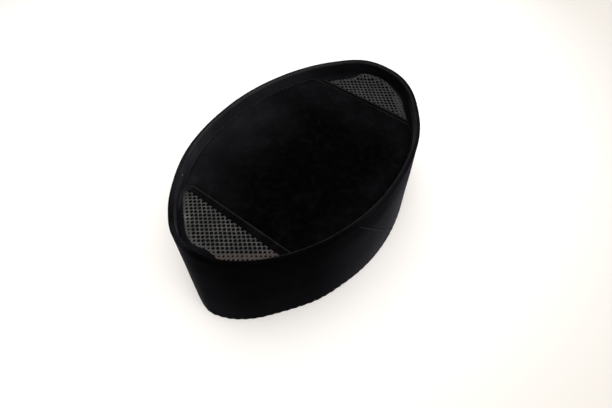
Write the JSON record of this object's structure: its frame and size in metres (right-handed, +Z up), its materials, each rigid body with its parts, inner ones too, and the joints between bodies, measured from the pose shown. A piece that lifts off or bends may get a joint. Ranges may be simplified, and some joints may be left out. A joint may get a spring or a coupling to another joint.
{
  "type": "songkok, a stiff brimless velvet cap",
  "caption": "Stiff oval brimless cap in black velvet, with a sunken crown panel and a half-moon vent net at the front and rear of the crown.",
  "frame": {"origin": "centre of the hem's oval, on the surface that the cap stands on", "axes": "+Z up through the crown, +Y towards the back of the cap, +X towards the wearer's left side"},
  "size_m": [0.1482, 0.2272, 0.083],
  "materials": {
    "band_velvet": "black velvet, soft pile with a pale sheen at grazing angles",
    "crown_velvet": "black velvet, slightly brushed",
    "hem_tape": "black folded velvet edge with stitching",
    "vent_net": "charcoal grey knotted net, matt",
    "lining": "plain black lining cloth, matt"
  },
  "bodies": {
    "root": {"side_band": "band_velvet", "crown_panel": "crown_velvet", "front_hem_tape": "hem_tape", "rear_hem_tape": "hem_tape", "front_vent_net": "vent_net", "rear_vent_net": "vent_net", "crown_lining": "lining"}
  },
  "joints": []
}
